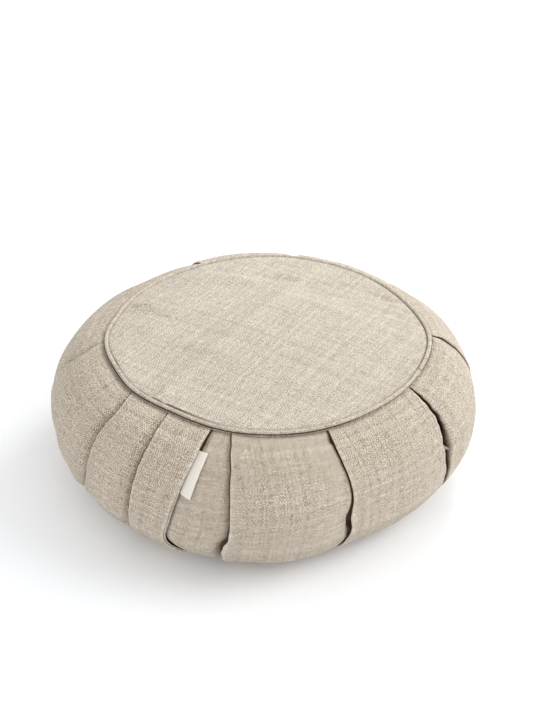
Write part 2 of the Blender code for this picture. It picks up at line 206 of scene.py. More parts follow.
# Folds whose lower cloth comes into the light near the foot, from the first slope to the second, and the
# share of the opening that is dark there. The other folds stay dark down to the bottom seam.
LIT_FEET = {"F": (-13.0, -19.0)}
NEVER_LIT = (-80.0, -90.0)
LIT_DARK = 0.15

# Folds that stand open, with the next panel's cloth rolled under: the height of the roll's top, then its
# radius, and how far the hollow reaches under it, in columns of nine
Roll = namedtuple("Roll", "crest radii unders")
ROLLS = {
    "G": Roll(1.6, (0.5, 1.2, 1.8, 2.8, 5.5, 3.0, 2.0, 1.2, 0.8),
              (0.2, 3.0, 6.0, 8.0, 6.0, 6.0, 5.0, 3.0, 1.0)),
    "H": Roll(1.8, (0.5, 1.2, 1.6, 1.8, 1.6, 1.4, 1.2, 1.0, 0.8),
              (0.2, 2.0, 4.0, 5.0, 4.0, 3.0, 2.0, 1.0, 0.5)),
}

# The small fold that bridges the open mouth of pleat G, from its near edge to its far edge
BRIDGE = ((56.3, 18.5), (61.8, 2.3))
BRIDGE_TOP = -0.6 * MM
BRIDGE_ABOVE = 4.0 * MM
BRIDGE_BELOW = 1.6 * MM

# Broad soft rises and hollows of the side: angle, slope, half width, half length and height in millimetres
Swell = namedtuple("Swell", "angle slope across down height")
SWELLS = [
    Swell(74.0, -28.0, 34.0, 20.0, 1.0),
    Swell(-61.0, -24.0, 13.0, 13.0, 2.0),
    Swell(-76.0, -7.0, 12.0, 13.0, -3.0),
    Swell(140.0, 48.0, 70.0, 30.0, -3.5),
]

# Lumps of the side: height in millimetres, width round and length down in metres, and a shift of the pattern
LUMPS = ((0.75, 0.050, 0.045, 0), (0.30, 0.019, 0.024, 7), (0.10, 0.008, 0.009, 3))
PUCKER = 0.45 * MM
PUCKER_WIDTH = 0.007
PUCKER_LENGTH = 0.05
PUCKER_REACH = 11.0 * MM
LUMP_RING = 0.19

# Soft ridges and creases of the side: two ends as (angle, slope), then half width and height in millimetres
Ridge = namedtuple("Ridge", "start end width height")
RIDGES = [
    Ridge((26.7, 28.0), (26.5, -19.0), 2.2, 1.4),
    Ridge((-6.2, 21.0), (-6.1, 2.0), 1.8, -0.6),
    Ridge((-80.4, 36.0), (-70.2, 14.0), 4.0, -1.4),
    Ridge((-74.7, 50.0), (-63.6, 28.0), 4.0, -1.3),
]

# Soft rises and hollows of the top: x, y and the half widths in metres, then the height in millimetres
TopSwell = namedtuple("TopSwell", "x y across along height")
TOP_SWELLS = [
    TopSwell(-0.012, 0.073, 0.034, 0.013, -4.0),
    TopSwell(0.066, 0.073, 0.036, 0.013, -4.0),
    TopSwell(-0.046, 0.098, 0.060, 0.012, 2.4),
    TopSwell(0.030, -0.020, 0.060, 0.045, 1.2),
    TopSwell(-0.080, -0.020, 0.030, 0.050, -1.0),
]

# Lumps of the top: height in millimetres, width and length in metres, and a shift of the pattern
TOP_LUMPS = ((1.60, 0.055, 0.040, 4.0), (0.80, 0.024, 0.015, 9.0), (0.06, 0.008, 0.008, 2.0))
TOP_LUMP_EDGE = 0.012
TOP_PUCKER = 0.5 * MM
TOP_PUCKER_WIDTH = 0.0065
TOP_PUCKER_REACH = 0.008

# Creases of the top: two ends in metres, then half width and height in millimetres
TOP_CREASES = [
    Ridge((-0.1260, 0.0480), (-0.1060, 0.0500), 2.4, -3.0),
    Ridge((-0.1240, 0.0420), (-0.0980, 0.0440), 2.6, 2.6),
    Ridge((-0.0960, -0.0900), (-0.0850, -0.0760), 2.2, -1.9),
    Ridge((-0.0820, -0.0970), (-0.0720, -0.0840), 2.2, -1.9),
    Ridge((-0.0460, 0.1120), (0.1160, 0.0590), 6.0, -2.2),
]
TOP_GRAIN = radians(57)
TOP_RINGS = 86
EDGE_SHARES = (0.950, 0.958, 0.965, 0.971, 0.976, 0.981, 0.985, 0.989, 0.992, 0.9945, 0.997, 0.9985, 1.0)
TOP_ANGLES = 400
PANEL_CLOTH = 0.0012
BASE_SHARES = (0.1, 0.4, 0.7, 0.9, 0.94, 0.97, 1.0)
BASE_ANGLES = 120
BASE_RISE = 1.6 * MM
BASE_FLAT_SHARE = 0.9
EDGE_ROLL = 2.2 * MM
EDGE_LAP = 0.85
EDGE_PUFF = 1.3 * MM
EDGE_PUFF_REACH = 26.0 * MM
# The line of painted shade on the top beside the cord: where it lies elsewhere and in front, its width, and
# its least strength
DITCH_PLACE = 0.7 * MM
FRONT_DITCH_PLACE = 1.9 * MM
DITCH_WIDTH = 0.7 * MM
DITCH_SHADE = 0.15
# Where the top has more painted shade beside the cord: angle, half width in degrees, and shade
INNER_SHADES = ((-36, 15, 0.75), (-73, 9, 0.40), (8, 18, 0.12), (88, 24, 0.35))

# The piping's cord, the joint of its cloth and the painted shade at its rim, the turns between which painted
# shade darkens its outer side, and the rings on which ways along it are measured
CORD_SEGMENTS = 560
CORD_SIDES = 14
CORD_JOIN = 68.6
JOIN_LENGTH = 9.0 * MM
JOIN_STEP = 0.30 * MM
JOIN_RING = 0.142
JOIN_RIM = 0.9 * MM
JOIN_SHADE = 0.8
CORD_DARK_TURNS = (30.0, -30.0)
SEAM_RING = 0.14
SLANT = 0.7071

# The cord's unevenness: how far it sways out and up and the lengths of that, how its thickness varies, and
# the bumps of the thread that winds round it
SWAY_OUT = 0.25 * MM
SWAY_UP = 0.18 * MM
SWAY_LENGTHS = (0.030, 0.022)
SWELL_SHARE = 0.05
SWELL_LENGTH = 0.006
TWIST_SHARE = 0.03
TWIST_LENGTH = 0.0064

# The tape in the edge of pleat D
TAPE_LENGTH = 0.0375
TAPE_REACH = 0.0100
TAPE_ROOT = 0.0014
TAPE_CLOTH = 0.38 * MM
TAPE_FOLD = 0.32 * MM
TAPE_LINE = ((-16.2, 59.2), (-18.4, 25.4))
TAPE_STEPS = 40
TAPE_RISE = 0.5 * MM
TAPE_STAND = 0.9 * MM
TAPE_LEAN = 0.19
TAPE_BOW = ((0.35, 0.1 * MM), (0.7, 0.3 * MM))
TAPE_BEND_RISE = 0.4 * MM

# Thread counts for each metre
LINEN_COUNT = 1060.0
TAPE_COUNT = 2600.0

# The weave: how its threads wander, how much their own tone and their slubs count, how much of a thread
# shows where it lies under another, and the fleck at a crossing, from which those beside it are taken away
DRIFT_SCALE = 90.0
DRIFT_THREADS = 6.0
WANDER = 0.5
OWN_TONE = 0.22
SLUB_TONE = 0.8
SLUB_STEP = 5.31
SLUB_LENGTH = 7.0
WARP_SLUB = 0.6
WEFT_SHIFT = 917.0
UNDER_SHARE = 0.18
FLECK = 0.30
FLECKS = ((0, 0, 1.0), (1, 0, -0.25), (-1, 0, -0.25), (0, 1, -0.25), (0, -1, -0.25))
WARP_LIGHTER = 0.26

# The cloth's tone: its middle, its patches, the painted shadow between the threads, its roughness and its
# relief
TONE_MIDDLE = 0.51
PATCH_SIZE = 0.007
PATCH_TONE = 0.12
THREAD_SHADOW_MIDDLE = 0.6
THREAD_SHADOW_TONE = 0.6
ROUGHEST = 0.95
LIGHT_THREADS_SMOOTHER = 0.10
RELIEF_DEPTH = 0.35 * MM
THICK_THREADS_HIGHER = 0.8
SPECULAR = 0.25
SHEEN_ROUGHNESS = 0.5

# Colours, in linear light
LINEN_DARK = (0.250, 0.187, 0.123)
LINEN_LIGHT = (0.795, 0.722, 0.612)
TOP_DARK = (0.262, 0.205, 0.141)
TOP_LIGHT = (0.828, 0.776, 0.677)
TAPE_DARK = (0.76, 0.71, 0.63)
TAPE_LIGHT = (0.86, 0.82, 0.75)
# The tint of the painted shade inside the folds and along the seams
PAINTED_SHADE_TINT = (0.170, 0.100, 0.048)
FLOOR_COLOUR = (0.93, 0.945, 0.965)
FLOOR_GLOW = 0.03
FLOOR_ROUGHNESS = 0.9
FLOOR_SPECULAR = 0.1
FLOOR_SIZE = 4.0
WHITE = (1.0, 1.0, 1.0, 1.0)

# The cloths: colours, thread count, contrast of the threads, strength of the relief, the lighter folds'
# edges, partly wear and partly painted highlight, painted shade inside the folds, and sheen
Cloth = namedtuple("Cloth", "dark light count contrast bump edge depth sheen")
CLOTHS = {
    "natural_linen": Cloth(LINEN_DARK, LINEN_LIGHT, LINEN_COUNT, 2.35, 0.7, 0.60, 1.0, 0.12),
    "top_linen": Cloth(TOP_DARK, TOP_LIGHT, LINEN_COUNT, 1.75, 0.6, 0.12, 1.0, 0.12),
    "cord_linen": Cloth(TOP_DARK, TOP_LIGHT, LINEN_COUNT, 1.8, 0.5, 0.1, 1.0, 0.12),
    "tape_cotton": Cloth(TAPE_DARK, TAPE_LIGHT, TAPE_COUNT, 0.3, 0.25, 0.1, 0.6, 0.1),
}

# The lights: place, the point each one faces, size across in metres and power in watts
BACKDROP_LIGHT = 0.93
LIGHTS = {
    "window_side": ((2.4, -0.1, 1.8), (0.0, 0.0, 0.05), 2.0, 38.0),
    "near_window": ((0.35, 0.65, 0.60), (0.0, 0.05, 0.12), 0.35, 2.9),
    "left_fill": ((-2.0, -0.8, 0.9), (0.0, 0.0, 0.05), 1.6, 4.0),
}

# The camera stands where the photograph was taken from
CAMERA_TILT = 34.648
CAMERA_DISTANCE = 1.27246
CAMERA_AIM = Vector((0.0, 0.0, 0.06))
FOCAL_PIXELS = 1400.0
PICTURE_WIDTH = 533
PICTURE_HEIGHT = 711
CUSHION_PIXEL = (265.05, 397.22)
SENSOR_WIDTH = 36.0

# A point of a mesh with its cloth coordinates and its masks of painted shade (depth) and of wear and painted
# highlight (edge), a point of a fold's cross-section, and the stretch of a panel between two folds
Spot = namedtuple("Spot", "place across down depth edge", defaults=(0.0, 0.0))
Cut = namedtuple("Cut", "distance height depth edge", defaults=(0.0, 0.0))
Span = namedtuple("Span", "start end width left right")


def smooth(x):
    """0 below 0, 1 above 1, and an even S-curve between."""
    x = min(1.0, max(0.0, x))
    return x * x * (3.0 - 2.0 * x)


def mix(start, end, share):
    return start + (end - start) * share


def bell(x):
    """1 at 0, falling away evenly on both sides."""
    return exp(-(x**2))


def through(before, start, end, after, x):
    """A smooth curve from start to end as x goes from 0 to 1, on its way from before to after."""
    slope_in, slope_out = (end - before) / 2, (after - start) / 2
    between = start * (2 * x**3 - 3 * x**2 + 1) + end * (3 * x**2 - 2 * x**3)
    return between + slope_in * (x**3 - 2 * x**2 + x) + slope_out * (x**3 - x**2)


def round_curve(values, angle):
    """Values in millimetres at even angles, read at any angle on a smooth closed curve, in metres."""
    count = len(values)
    place = (angle % 360.0) / 360.0 * count
    k = int(place) % count
    near = [values[(k + step) % count] for step in (-1, 0, 1, 2)]
    return through(*near, place % 1.0) * MM


@lru_cache(maxsize=None)
def seam_radius(angle):
    pulls = sum(pull * MM * bell(angle_from(place, angle) / width) for place, width, pull in SEAM_PULLS)
    return round_curve(SEAM_RADII, angle) + pulls


def round_point(angle, radius, z):
    turn = radians(angle)
    return Vector((CENTRE.x + radius * sin(turn), CENTRE.y - radius * cos(turn), z))


def soft_noise(x, y, z=0.0):
    return noise.noise(Vector((x, y, z)))


def segment_distance(x, y, start, end):
    """Distance to a straight stretch, and the side: above 0 on its left as one looks from start to end."""
    run_x, run_y = end[0] - start[0], end[1] - start[1]
    length = hypot(run_x, run_y)
    along = ((x - start[0]) * run_x + (y - start[1]) * run_y) / length**2
    clamped = min(1.0, max(0.0, along))
    side = (run_x * (y - start[1]) - run_y * (x - start[0])) / length
    return hypot(x - start[0] - clamped * run_x, y - start[1] - clamped * run_y), side


# The side

def seam_slope(angle):
    """The slope at which the side meets the seam's cord."""
    reach = round_curve(SIDE_RADII, angle) - CORE_RADIUS
    return degrees(acos((seam_radius(angle) + COLLAR_REACH - CORE_RADIUS) / reach))


def side_point(angle, slope, height=0.0):
    """The point of the side at an angle and a slope, raised by height along its normal."""
    reach = round_curve(SIDE_RADII, angle) - CORE_RADIUS
    rise = WIDEST_HEIGHT if slope >= 0 else WIDEST_HEIGHT - UNDER_HEIGHT
    ends = seam_slope(angle)
    near_seam = smooth((abs(slope) - COLLAR_START) / (SIDE_SEAM_SLOPE - COLLAR_START))
    bend = abs(slope) + (ends - SIDE_SEAM_SLOPE) * near_seam
    across, up = cos(radians(bend)), sin(radians(bend)) * (1 if slope >= 0 else -1)
    normal = Vector((across / reach, up / rise)).normalized()
    z = WIDEST_HEIGHT + rise * up + height * normal.y
    if slope > COLLAR_START:
        z += (COLLAR_Z - WIDEST_HEIGHT - rise * sin(radians(ends))) * near_seam
    return round_point(angle, CORE_RADIUS + reach * across + height * normal.x, z)


def side_radius(angle, slope):
    return CORE_RADIUS + (round_curve(SIDE_RADII, angle) - CORE_RADIUS) * cos(radians(slope))


def opening(slope):
    """How far the folds stand open: 0 where they are sewn into a seam, 1 along the side."""
    return smooth((SIDE_SEAM_SLOPE - abs(slope)) / SEWN_SLOPE)


def open_share(sewn_share, slope):
    """The share of a fold's full size at a slope: sewn_share in the seams, 1 along the side."""
    return mix(sewn_share, 1.0, opening(slope))


def between_keys(keys, slope):
    """A value at any slope from pairs of slope and value, in order from the top seam down."""
    for (above, first), (below, second) in zip(keys, keys[1:]):
        if slope >= below:
            return mix(first, second, smooth((above - slope) / (above - below)))
    return keys[-1][1]


def down_the_side(values, slope):
    """A column at any slope. A column of nine is a smooth curve from the top seam down, then constant."""
    if isinstance(values[0], tuple):
        return between_keys(values, slope)
    padded = (values[0], *values, values[-1])
    place = max(0.0, (SLOPES[0] - slope) / (SLOPES[0] - SLOPES[1]))
    k = min(int(place), len(SLOPES) - 2)
    return through(*padded[k : k + 4], min(1.0, place - k))


def fold_angle(pleat, slope):
    waver = WAVERS.get(pleat.name, WAVER) * opening(slope)
    shake = soft_noise(slope / WAVER_LENGTH, PLEATS.index(pleat) * WAVER_SHIFT)
    return down_the_side(pleat.angles, slope) + waver * shake


def middle_angle(pleat):
    return fold_angle(pleat, SLOPES[4])


def fold_sink(pleat, slope):
    return down_the_side(pleat.sinks, slope) * MM * open_share(SEWN_SHARE, slope)


def fold_gap(pleat, slope):
    return mix(SEWN_GAP, down_the_side(pleat.gaps, slope) * MM, opening(slope))


def fold_lift(pleat, slope):
    return pleat.lift * MM * open_share(SEWN_SHARE, slope)


def bridge_rise(angle, slope):
    """How far the small fold across the mouth of pleat G fills it, from 0 to 1."""
    scale = (DEGREE_ACROSS, DEGREE_DOWN)
    start, end = (tuple(value * size for value, size in zip(point, scale)) for point in BRIDGE)
    distance, side = segment_distance(angle * scale[0], slope * scale[1], start, end)
    return bell(distance / (BRIDGE_ABOVE if side > 0 else BRIDGE_BELOW))


def side_shade(pleat, slope):
    """How much painted shade the lower cloth has where it comes out of a fold."""
    return min(SHADE_LIMIT, SHADE_SHARE * fold_sink(pleat, slope) / MM)


def flap_edge(lift, flap, out=0.0):
    """The rounded edge of a layer of cloth, out from the fold's line, with painted shade on its underside and
    a lighter strip along its upper side, partly wear and partly painted highlight.
    """
    r = flap / 2
    cuts = []
    for turn in EDGE_TURNS:
        shade = max(0.0, -turn / 90.0) * EDGE_SHADE
        light = max(0.0, 1.0 - abs(turn - LIGHT_TURN) / LIGHT_SPAN)
        cuts.append(Cut(out - r + r * cos(radians(turn)), lift - r + r * sin(radians(turn)), shade, light))
    return cuts


def top_cuts(pleat, slope):
    """The cloth on top of a fold, from its flat part round its edge and back under it to the slot's end, with
    a lighter strip near the edge, partly wear and partly painted highlight, and painted shade where it goes
    under.
    """
    loose = opening(slope)
    lift, sink = fold_lift(pleat, slope), fold_sink(pleat, slope)
    flap = FLAP * open_share(SEWN_FLAP, slope)
    tuck = mix(SEWN_TUCK, TUCK, loose)
    rise = EDGE_RISE * loose
    cuts = [Cut(-EDGE_START, lift), Cut(-EDGE_CREST, lift + rise), Cut(-EDGE_FALL, lift + 0.6 * rise, 0, 0.3)]
    if pleat.layers == 2:
        cuts += flap_edge(lift, flap * 0.5)
        cuts.append(Cut(-LAYER_STEP * loose, lift - LAYER_STEP_SHARE * flap, 0.9))
        peep = LAYER_PEEP * loose * smooth((PEEP_SLOPES[0] - slope) / (PEEP_SLOPES[0] - PEEP_SLOPES[1]))
        cuts += flap_edge(lift - LAYER_TOP_SHARE * flap, flap * 0.5, peep)
        under = lift - LAYER_UNDER_SHARE * flap
    else:
        cuts += flap_edge(lift, flap)
        under = lift - flap
    cuts.append(Cut(-0.35 * tuck, mix(under, -sink, 0.3), 0.85))
    cuts.append(Cut(-tuck, SLOT_END - sink, 1))
    return cuts


def dark_share(pleat, slope):
    """The share of a fold's opening that lies in the dark."""
    start, end = LIT_FEET.get(pleat.name, NEVER_LIT)
    return mix(pleat.dark, LIT_DARK, smooth((start - slope) / (start - end)))


def lower_cuts(pleat, slope):
    """The cloth below a fold, from the slot's end out to where it lies open, with painted shade that is full
    in the dark share of the opening and fades beyond it.
    """
    loose = opening(slope)
    tuck = mix(SEWN_TUCK, TUCK, loose)
    sewn = SEWN_SLOT * (1.0 - loose)
    slot, end = -tuck + sewn, fold_gap(pleat, slope) + 2.0 * sewn
    middle = max(-slot / (end - slot), 0.35)
    dark = dark_share(pleat, slope)
    cuts = []
    for share in (0.0, 0.5 * middle, *(mix(middle, 1.0, quarter / 4) for quarter in range(5))):
        distance = mix(slot, end, share)
        lit = smooth((distance / end - dark) / (1.0 - dark))
        cuts.append(Cut(distance, -fold_sink(pleat, slope), mix(1.0, side_shade(pleat, slope), lit)))
    return cuts


def rolled_cuts(pleat, slope):
    """The hollow of a fold that stands open, and the roll in which the next panel's cloth comes out of it,
    with painted shade in the hollow and under the roll.
    """
    loose = opening(slope)
    roll = ROLLS[pleat.name]
    sink, gap = fold_sink(pleat, slope), fold_gap(pleat, slope)
    radius = min(down_the_side(roll.radii, slope) * MM, ROLL_SHARE * sink)
    under = down_the_side(roll.unders, slope) * MM * loose
    crest = roll.crest * MM * loose
    slot = -mix(SEWN_TUCK, TUCK, loose) + SEWN_SLOT * (1.0 - loose)
    gap += SEWN_ROLL_GAP * (1.0 - loose)
    far = gap + radius + under
    cuts = []
    for share in (0.0, 0.5, 1.0):
        cuts.append(Cut(mix(slot, max(0.0, slot), share), -sink, 1))
    for share in (0.2, 0.4, 0.6, 0.8, 1.0):
        distance = mix(max(0.0, slot), gap, share)
        angle = fold_angle(pleat, slope) + degrees(distance / side_radius(middle_angle(pleat), slope))
        rise = bridge_rise(angle, slope) if pleat.name == "G" else 0.0
        cuts.append(Cut(distance, mix(-sink, BRIDGE_TOP, rise), 1.0 - rise))
    cuts += [Cut(mix(gap, far, 0.5), -sink, 1), Cut(far, -sink, 1)]
    roof = crest - 2.0 * radius
    cuts.append(Cut(far, mix(-sink, roof, 0.6), 1))
    cuts.append(Cut(gap + radius + 0.5 * under, roof, 1))
    for turn in ROLL_TURNS:
        distance = gap + radius + radius * cos(radians(turn))
        dark = smooth((turn - ROLL_LIGHT[0]) / (ROLL_LIGHT[1] - ROLL_LIGHT[0]))
        cuts.append(Cut(distance, crest + radius * (sin(radians(turn)) - 1), dark))
    return cuts


@lru_cache(maxsize=None)
def fold_cuts(pleat, slope):
    """A fold's cross-section in order of increasing angle, and how many points belong to the left panel."""
    top = top_cuts(pleat, slope)
    cuts = top + (rolled_cuts(pleat, slope) if pleat.name in ROLLS else lower_cuts(pleat, slope))
    if pleat.over < 0:
        return cuts, len(top)
    return [cut._replace(distance=-cut.distance) for cut in reversed(cuts)], len(cuts) - len(top)


def end_effect(height, distance, reach):
    """What is left of the height at a panel's end, at a distance into the panel."""
    return height * (1.0 - min(1.0, distance / reach)) ** (LIFT_FADE if height > 0 else SINK_FADE)


def next_pleat(pleat):
    return PLEATS[(PLEATS.index(pleat) + 1) % len(PLEATS)]


@lru_cache(maxsize=None)
def panel_span(pleat, slope):
    """Where the panel after a pleat starts and ends, its width, and the heights of its two ends."""
    following = next_pleat(pleat)
    radius = side_radius(middle_angle(pleat), slope)
    first, last = fold_cuts(pleat, slope)[0][-1], fold_cuts(following, slope)[0][0]
    start = fold_angle(pleat, slope) + degrees(first.distance / radius)
    end = fold_angle(following, slope) + degrees(last.distance / radius)
    end += 360.0 if end < start else 0.0
    return Span(start, end, radians(end - start) * radius, first.height, last.height)


def panel_height(pleat, slope, distance):
    """Height of the cloth of the panel after a pleat, at a distance from its left end."""
    span = panel_span(pleat, slope)
    share = min(1.0, max(0.0, distance / span.width))
    left_reach = LIFT_REACH if span.left > 0 else pleat.reach * MM
    right_reach = LIFT_REACH if span.right > 0 else next_pleat(pleat).reach * MM
    left = end_effect(span.left, share * span.width, min(left_reach, span.width))
    right = end_effect(span.right, (1.0 - share) * span.width, min(right_reach, span.width))
    bulge = pleat.bulge * MM * opening(slope)
    return left + right + bulge * (4.0 * share * (1.0 - share)) ** BULGE_POWER


def panel_shade(pleat, slope, distance):
    """How much painted shade the panel after a pleat has beside the folds out of which it comes."""
    span = panel_span(pleat, slope)
    ends = ((pleat, span.left, distance), (next_pleat(pleat), span.right, span.width - distance))
    shade = 0.0
    for fold, height, away in ends:
        if height < 0:
            shade += side_shade(fold, slope) * max(0.0, 1.0 - away / SHADE_REACH) ** 2
    return shade


def angle_from(angle, other):
    """The way from one angle to another, between -180 and 180 degrees."""
    return (other - angle + 180.0) % 360.0 - 180.0


def in_stretch(stretch, angle):
    """1 inside a stretch round the cushion and 0 outside it, with a soft change at its two ends."""
    middle, half_width, fade = stretch
    return smooth((half_width - abs(angle_from(middle, angle))) / fade)


def relief(angle, slope):
    """The swells, ridges, lumps and small puckers of the side."""
    loose = opening(slope)
    height = 0.0
    for swell in SWELLS:
        across = angle_from(swell.angle, angle) * DEGREE_ACROSS / (swell.across * MM)
        down = (slope - swell.slope) * DEGREE_DOWN / (swell.down * MM)
        height += swell.height * MM * exp(-(across**2) - down**2)
    for ridge in RIDGES:
        near = angle_from(ridge.start[0], angle) * DEGREE_ACROSS, slope * DEGREE_DOWN
        start = 0.0, ridge.start[1] * DEGREE_DOWN
        end = (ridge.end[0] - ridge.start[0]) * DEGREE_ACROSS, ridge.end[1] * DEGREE_DOWN
        distance = segment_distance(*near, start, end)[0]
        height += ridge.height * MM * bell(distance / (ridge.width * MM))
    turn = radians(angle)
    ring_x, ring_y, down = LUMP_RING * sin(turn), LUMP_RING * cos(turn), slope * DEGREE_DOWN
    for tall, width, length, shift in LUMPS:
        height += tall * MM * loose * soft_noise(ring_x / width + shift, ring_y / width, down / length)
    near_seam = exp(-(SIDE_SEAM_SLOPE - abs(slope)) * DEGREE_DOWN / PUCKER_REACH)
    pucker = soft_noise(ring_x / PUCKER_WIDTH, ring_y / PUCKER_WIDTH, down / PUCKER_LENGTH)
    return height + PUCKER * near_seam * loose * pucker


def panel_places(pleat):
    """The shares at which the panel after a pleat is divided, the same in every row."""
    width = (middle_angle(next_pleat(pleat)) - middle_angle(pleat)) % 360.0
    front = FRONT_ANGLES[0] < middle_angle(pleat) < FRONT_ANGLES[1]
    steps = max(4, round(width * DEGREE_ACROSS / (FRONT_STEP if front else BACK_STEP)))
    return [i / steps for i in range(1, steps)]


def darker(spot, shade):
    """A spot with more shade on it, less of it along the cushion's right side, left and back."""
    angle = spot_angle(spot)
    shade *= mix(1.0, RIGHT_SHADE, right_side(angle)) * mix(1.0, LEFT_SHADE, far_left(angle))
    return spot._replace(depth=min(1.0, spot.depth + shade))


def side_row(slope):
    """One closed row of spots round the side, through every fold and panel."""
    spots = []
    down = -slope * DEGREE_DOWN
    for index, pleat in enumerate(PLEATS):
        fold, radius = fold_angle(pleat, slope), side_radius(middle_angle(pleat), slope)
        before, after = panel_span(PLEATS[index - 1], slope), panel_span(pleat, slope)
        cuts, left_count = fold_cuts(pleat, slope)
        paths = [0.0]
        for near, far in zip(cuts, cuts[1:]):
            paths.append(paths[-1] + hypot(far.distance - near.distance, far.height - near.height))
        for k, (cut, path) in enumerate(zip(cuts, paths)):
            angle = fold + degrees(cut.distance / radius)
            if k < left_count:
                across = (index - 1) % len(PLEATS) * 0.5 + before.width / 2 + path
            else:
                across = index * 0.5 - after.width / 2 - (paths[-1] - path)
            height = cut.height + relief(angle, slope)
            spots.append(Spot(side_point(angle, slope, height), across, down, cut.depth, cut.edge))
        for share in panel_places(pleat):
            angle = mix(after.start, after.end, share)
            height = panel_height(pleat, slope, share * after.width) + relief(angle, slope)
            across = index * 0.5 + (share - 0.5) * after.width
            shade = panel_shade(pleat, slope, share * after.width)
            spots.append(Spot(side_point(angle, slope, height), across, down, shade))
    # Painted shade along both seams, less of it along the right, the left and the back
    near_seam = exp(-(SIDE_SEAM_SLOPE - abs(slope)) * DEGREE_DOWN / SEAM_SHADE_REACH)
    return [darker(spot, SEAM_SHADE * near_seam) for spot in spots]


def right_side(angle):
    """1 along the cushion's right side, 0 along its left and its front."""
    return in_stretch(RIGHT_STRETCH, angle)


def far_left(angle):
    """1 along the cushion's left and back, 0 along its front and its right side."""
    return smooth((LEFT_START - angle_from(0.0, angle)) / LEFT_FADE)


def seam_length(angle):
    """The way along a seam to an angle, for the cloth's pattern and its unevenness."""
    return radians(angle) * SEAM_RING


def spot_angle(spot):
    return degrees(atan2(spot.place.x - CENTRE.x, CENTRE.y - spot.place.y))


def round_the_cord(row, z, turn, clearance, down, depth):
    """A row of spots round a seam's cord, in line with another row. The turn is up from the outer side, and
    depth is the row's painted shade.
    """
    spots = []
    for spot in row:
        angle = spot_angle(spot)
        distance = CORD_RADIUS + clearance * mix(1.0, TIGHT_SHARE, right_side(angle))
        out = seam_radius(angle) + distance * cos(radians(turn))
        place = round_point(angle, out, z + distance * sin(radians(turn)))
        spots.append(Spot(place, spot.across, spot.down + down, depth))
    return spots


def crown_z(share):
    return CROWN_EDGE_Z + CROWN_HEIGHT * (1.0 - share**CROWN_POWER)


def under_panel(row, share, z):
    """A row of spots hidden under a round panel, in line with another row, fully painted with shade."""
    spots = []
    for spot in row:
        angle = spot_angle(spot)
        spots.append(spot._replace(place=round_point(angle, seam_radius(angle) * share, z), depth=1.0))
    return spots


def new_object(name, data):
    made = bpy.data.objects.new(name, data)
    bpy.context.scene.collection.objects.link(made)
    return made


def mesh_of(name, spots, faces, slot):
    """A new piece from spots and faces, with its cloth coordinates and its fold masks of painted shade and of
    wear and painted highlight, riding on the body.
    """
    data = bpy.data.meshes.new(name)
    data.from_pydata([spot.place for spot in spots], [], faces)
    cloth = data.uv_layers.new(name="cloth")
    corners = [0] * len(data.loops)
    data.loops.foreach_get("vertex_index", corners)
    cloth.data.foreach_set("uv", [value for k in corners for value in (spots[k].across, spots[k].down)])
    # The masks: depth for painted shade, edge for the lighter folds' edges, partly wear and partly painted
    # highlight
    for mask in ("depth", "edge"):
        layer = data.attributes.new("fold_" + mask, "FLOAT", "POINT")
        layer.data.foreach_set("value", [float(getattr(spot, mask)) for spot in spots])
    data.shade_smooth()
    data.validate()
    made = new_object(name, data)
    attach(made, "root")
    return made


def closed_rows(rows):
    """Spots and faces of a closed body through rings of equally many spots, with a face over each end."""
    count = len(rows[0])
    spots = [spot for row in rows for spot in row]
    faces = []
    for k in range(len(rows) - 1):
        for i in range(count):
            j = (i + 1) % count
            faces.append((k * count + i, (k + 1) * count + i, (k + 1) * count + j, k * count + j))
    faces.append(tuple(range(count)))
    faces.append(tuple(range(len(spots) - 1, len(spots) - 1 - count, -1)))
    return spots, faces


def pleated_cushion():
    """The filled cushion: the side in its pleats, turned in under both cords."""
    slopes = [SIDE_SEAM_SLOPE * (1.0 - 2.0 * row / (SIDE_ROWS - 1)) for row in range(SIDE_ROWS)]
    side = [side_row(slope) for slope in slopes]
    upper, lower = side[0], side[-1]
    rows = [under_panel(upper, share, UNDER_TOP_Z) for share in UNDER_TOP_SHARES]
    for turn, clearance, depth in reversed(SEAM_ROWS):
        rows.append(round_the_cord(upper, CORD_TOP_Z, -turn, clearance, -turn / 30.0 * MM, depth))
    rows += side
    for turn, clearance, depth in SEAM_ROWS:
        rows.append(round_the_cord(lower, CORD_BOTTOM_Z, turn, clearance, turn / 30.0 * MM, depth))
    rows += [under_panel(lower, share, UNDER_BASE_Z) for share in UNDER_BASE_SHARES]
    return mesh_of("pleated_linen_cushion", *closed_rows(rows), "linen")


# The round panels

def top_relief(x, y):
    """The soft swells and lumps of the top."""
    height = 0.0
    for swell in TOP_SWELLS:
        away = ((x - swell.x) / swell.across) ** 2 + ((y - swell.y) / swell.along) ** 2
        height += swell.height * MM * exp(-away)
    for tall, width, length, shift in TOP_LUMPS:
        height += tall * MM * soft_noise(x / width, y / length, shift)
    return height


def top_crease(x, y):
    """The sharper creases of the top, some of which run up to the cord."""
    height = 0.0
    for crease in TOP_CREASES:
        distance = segment_distance(x, y, crease.start, crease.end)[0]
        height += crease.height * MM * bell(distance / (crease.width * MM))
    return height


def seen_inside(angle):
    """1 along the right side, where the seam inside the cord shows, and 0 where the top laps the cord."""
    return in_stretch(OPEN_STRETCH, angle)


def inner_shade(angle):
    """How much painted shade the top has where it meets the cord."""
    shades = (shade * bell(angle_from(place, angle) / width) for place, width, shade in INNER_SHADES)
    return DITCH_SHADE + sum(shades)


